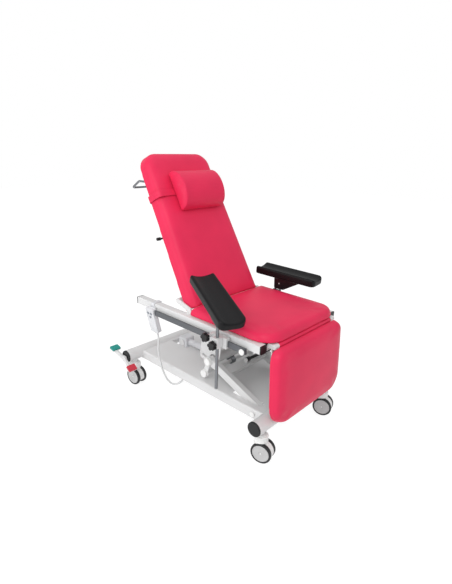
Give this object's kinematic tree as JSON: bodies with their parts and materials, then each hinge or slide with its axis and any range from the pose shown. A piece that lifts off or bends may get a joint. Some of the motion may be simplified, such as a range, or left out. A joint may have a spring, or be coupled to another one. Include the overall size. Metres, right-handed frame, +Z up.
{
  "type": "phlebotomy chair",
  "caption": "Electrically raised blood-draw chair on castors: reclining padded back with pillow, seat, hinged legrest, turning arm pads on posts, wired handset, brake pedal.",
  "frame": {"origin": "centre of the chair's footprint on the floor", "axes": "+X to the sitter's left, -Y to the front, +Z up"},
  "size_m": [0.9529, 1.2394, 1.4064],
  "materials": {
    "white_frame": "white powder coat",
    "castor_plastic": "moulded nylon",
    "castor_tyre": "grey rubber tyre, light grey hub",
    "white_plastic": "moulded ABS",
    "grey_plastic": "fine moulded texture",
    "black_plastic": "satin moulded",
    "steel": "polished plating",
    "black_enamel": "black enamel",
    "red_vinyl": "smooth coated vinyl, glossy",
    "black_foam": "integral skin polyurethane foam",
    "plywood": "birch plywood",
    "cable": "PVC sheath",
    "pedal_pads": "one green and one red pad"
  },
  "bodies": {
    "base": {"base_tubes": "white_frame", "tube_end_caps": "black_plastic", "base_tray": "white_frame", "base_pivot_lugs": "white_frame", "control_box": "grey_plastic", "handset_lead": "cable"},
    "lift_arms": {"lift_arms": "white_frame", "arm_cross_members": "white_frame", "actuator_crank": "white_frame", "arm_hub_caps": "white_plastic"},
    "links": {"parallel_links": "white_frame"},
    "seat_frame": {"side_rails": "white_frame", "rail_end_caps": "black_plastic", "frame_cross_members": "white_frame", "lift_head_plates": "white_frame", "accessory_bars": "steel", "seat_board": "plywood", "seat_cushion": "red_vinyl", "seat_front_roll": "red_vinyl", "handset_shell": "grey_plastic"},
    "actuator_body": {"actuator_body": "grey_plastic"},
    "actuator_ram": {"actuator_ram": "steel"},
    "spring_tube": {"assist_spring_tube": "black_enamel"},
    "spring_rod": {"assist_spring_rod": "steel"},
    "backrest": {"backrest_cushion": "red_vinyl", "backrest_frame": "white_frame", "roll_holder": "steel"},
    "recline_lever": {"recline_lever": "black_plastic"},
    "pillow": {"head_pillow": "red_vinyl", "pillow_strap": "red_vinyl"},
    "legrest": {"legrest_cushion": "red_vinyl", "legrest_frame": "white_frame"},
    "brake": {"brake_pedal": "white_frame", "brake_pads": "pedal_pads"},
    "castor_fl": {"castor_housing_fl": "castor_plastic"},
    "wheels_fl": {"castor_wheels_fl": "castor_tyre"},
    "castor_fr": {"castor_housing_fr": "castor_plastic"},
    "wheels_fr": {"castor_wheels_fr": "castor_tyre"},
    "castor_rl": {"castor_housing_rl": "castor_plastic"},
    "wheels_rl": {"castor_wheels_rl": "castor_tyre"},
    "castor_rr": {"castor_housing_rr": "castor_plastic"},
    "wheels_rr": {"castor_wheels_rr": "castor_tyre"},
    "clamp_right": {"armrest_clamp_right": "white_frame"},
    "railknob_right": {"rail_knob_right": "black_plastic"},
    "postknob_right": {"post_knob_right": "black_plastic"},
    "post_right": {"armrest_post_right": "steel"},
    "posthead_right": {"post_head_right": "white_frame"},
    "pad_right": {"armrest_bracket_right": "black_enamel", "armrest_pad_right": "black_foam"},
    "clamp_left": {"armrest_clamp_left": "white_frame"},
    "railknob_left": {"rail_knob_left": "black_plastic"},
    "postknob_left": {"post_knob_left": "black_plastic"},
    "post_left": {"armrest_post_left": "steel"},
    "posthead_left": {"post_head_left": "white_frame"},
    "pad_left": {"armrest_bracket_left": "black_enamel", "armrest_pad_left": "black_foam"},
    "button_1": {"handset_button_1": "grey_plastic"},
    "button_2": {"handset_button_2": "grey_plastic"},
    "button_3": {"handset_button_3": "grey_plastic"}
  },
  "joints": [
    {"name": "lift", "type": "hinge", "parent": "base", "child": "lift_arms", "pos_m": [0.01257, -0.42848, 0.19], "axis": [1, 0, 0], "range_deg": [0, 34]},
    {"name": "link_turn", "type": "hinge", "parent": "base", "child": "links", "pos_m": [0.01257, -0.34648, 0.19], "axis": [1, 0, 0], "range_deg": [0, 34]},
    {"name": "seat_level", "type": "hinge", "parent": "lift_arms", "child": "seat_frame", "pos_m": [0.01257, -0.07033, 0.33397], "axis": [1, 0, 0], "range_deg": [-34, 0]},
    {"name": "actuator_tilt", "type": "hinge", "parent": "base", "child": "actuator_body", "pos_m": [0.03957, 0.35602, 0.24], "axis": [1, 0, 0], "range_deg": [-21.81, 0]},
    {"name": "ram_slide", "type": "slide", "parent": "actuator_body", "child": "actuator_ram", "axis": [0, -0.9997, 0.0249], "range_m": [0, 0.14321]},
    {"name": "spring_tilt", "type": "hinge", "parent": "lift_arms", "child": "spring_tube", "pos_m": [0.01257, -0.1873, 0.31929], "axis": [1, 0, 0], "range_deg": [-38.1, 0]},
    {"name": "spring_slide", "type": "slide", "parent": "spring_tube", "child": "spring_rod", "axis": [0, -0.7877, 0.6161], "range_m": [0, 0.06213]},
    {"name": "backrest_recline", "type": "hinge", "parent": "seat_frame", "child": "backrest", "pos_m": [0.01257, -0.00448, 0.6355], "axis": [1, 0, 0], "range_deg": [-58, 0]},
    {"name": "recline_lever", "type": "slide", "parent": "backrest", "child": "recline_lever", "axis": [-1, 0, 0], "range_m": [0, 0.006], "stiffness_N_per_m": 600},
    {"name": "pillow_height", "type": "slide", "parent": "backrest", "child": "pillow", "axis": [0, 0.5, 0.866], "range_m": [-0.04, 0.06]},
    {"name": "legrest_raise", "type": "hinge", "parent": "seat_frame", "child": "legrest", "pos_m": [0.01257, -0.54148, 0.606], "axis": [-1, 0, 0], "range_deg": [0, 80]},
    {"name": "brake_rock", "type": "hinge", "parent": "base", "child": "brake", "pos_m": [0.01257, 0.50302, 0.1905], "axis": [1, 0, 0], "range_deg": [-10, 10]},
    {"name": "castor_swivel_fl", "type": "hinge", "parent": "base", "child": "castor_fl", "pos_m": [0.29307, -0.51998, 0.1615], "axis": [0, 0, 1], "continuous": true},
    {"name": "wheel_roll_fl", "type": "hinge", "parent": "castor_fl", "child": "wheels_fl", "pos_m": [0.2974, -0.53329, 0.054], "axis": [0.9511, 0.309, 0], "continuous": true},
    {"name": "castor_swivel_fr", "type": "hinge", "parent": "base", "child": "castor_fr", "pos_m": [-0.26793, -0.51998, 0.1615], "axis": [0, 0, 1], "continuous": true},
    {"name": "wheel_roll_fr", "type": "hinge", "parent": "castor_fr", "child": "wheels_fr", "pos_m": [-0.26431, -0.5335, 0.054], "axis": [0.9659, 0.2588, 0], "continuous": true},
    {"name": "castor_swivel_rl", "type": "hinge", "parent": "base", "child": "castor_rl", "pos_m": [0.29307, 0.50302, 0.1615], "axis": [0, 0, 1], "continuous": true},
    {"name": "wheel_roll_rl", "type": "hinge", "parent": "castor_rl", "child": "wheels_rl", "pos_m": [0.29526, 0.48919, 0.054], "axis": [0.9877, 0.1564, 0], "continuous": true},
    {"name": "castor_swivel_rr", "type": "hinge", "parent": "base", "child": "castor_rr", "pos_m": [-0.26793, 0.50302, 0.1615], "axis": [0, 0, 1], "continuous": true},
    {"name": "wheel_roll_rr", "type": "hinge", "parent": "castor_rr", "child": "wheels_rr", "pos_m": [-0.26647, 0.4891, 0.054], "axis": [0.9945, 0.1045, 0], "continuous": true},
    {"name": "clamp_slide_right", "type": "slide", "parent": "seat_frame", "child": "clamp_right", "axis": [0, 1, 0], "range_m": [-0.08, 0.15]},
    {"name": "rail_knob_turn_right", "type": "hinge", "parent": "clamp_right", "child": "railknob_right", "pos_m": [-0.35743, -0.24048, 0.599], "axis": [1, 0, 0], "range_deg": [-360, 360]},
    {"name": "post_knob_turn_right", "type": "hinge", "parent": "clamp_right", "child": "postknob_right", "pos_m": [-0.35743, -0.29448, 0.576], "axis": [1, 0, 0], "range_deg": [-360, 360]},
    {"name": "post_height_right", "type": "slide", "parent": "clamp_right", "child": "post_right", "axis": [0, 0, 1], "range_m": [-0.055, 0.17]},
    {"name": "head_swivel_right", "type": "hinge", "parent": "post_right", "child": "posthead_right", "pos_m": [-0.35743, -0.29448, 0.714], "axis": [0, 0, -1], "range_deg": [-60, 60]},
    {"name": "pad_tilt_right", "type": "hinge", "parent": "posthead_right", "child": "pad_right", "pos_m": [-0.35743, -0.29448, 0.714], "axis": [0.9288, -0.3706, 0], "range_deg": [-35, 25]},
    {"name": "clamp_slide_left", "type": "slide", "parent": "seat_frame", "child": "clamp_left", "axis": [0, 1, 0], "range_m": [-0.15, 0.15]},
    {"name": "rail_knob_turn_left", "type": "hinge", "parent": "clamp_left", "child": "railknob_left", "pos_m": [0.38257, -0.05948, 0.599], "axis": [1, 0, 0], "range_deg": [-360, 360]},
    {"name": "post_knob_turn_left", "type": "hinge", "parent": "clamp_left", "child": "postknob_left", "pos_m": [0.38257, -0.11348, 0.576], "axis": [1, 0, 0], "range_deg": [-360, 360]},
    {"name": "post_height_left", "type": "slide", "parent": "clamp_left", "child": "post_left", "axis": [0, 0, 1], "range_m": [-0.018, 0.2]},
    {"name": "head_swivel_left", "type": "hinge", "parent": "post_left", "child": "posthead_left", "pos_m": [0.38257, -0.11348, 0.675], "axis": [0, 0, 1], "range_deg": [-60, 60]},
    {"name": "pad_tilt_left", "type": "hinge", "parent": "posthead_left", "child": "pad_left", "pos_m": [0.38257, -0.11348, 0.675], "axis": [0.9919, 0.1271, 0], "range_deg": [-30, 25]},
    {"name": "button_press_1", "type": "slide", "parent": "seat_frame", "child": "button_1", "axis": [0.9703, 0, 0.2419], "range_m": [0, 0.002], "stiffness_N_per_m": 300},
    {"name": "button_press_2", "type": "slide", "parent": "seat_frame", "child": "button_2", "axis": [0.9703, 0, 0.2419], "range_m": [0, 0.002], "stiffness_N_per_m": 300},
    {"name": "button_press_3", "type": "slide", "parent": "seat_frame", "child": "button_3", "axis": [0.9703, 0, 0.2419], "range_m": [0, 0.002], "stiffness_N_per_m": 300}
  ],
  "couplings": [
    {"joint": "link_turn", "follows": "lift", "ratio": 1},
    {"joint": "seat_level", "follows": "lift", "ratio": -1},
    {"joint": "actuator_tilt", "follows": "lift", "ratio": -0.64157},
    {"joint": "ram_slide", "follows": "lift", "m_per_rad": 0.24132},
    {"joint": "spring_tilt", "follows": "lift", "ratio": -1.1207},
    {"joint": "spring_slide", "follows": "lift", "m_per_rad": 0.10468}
  ]
}
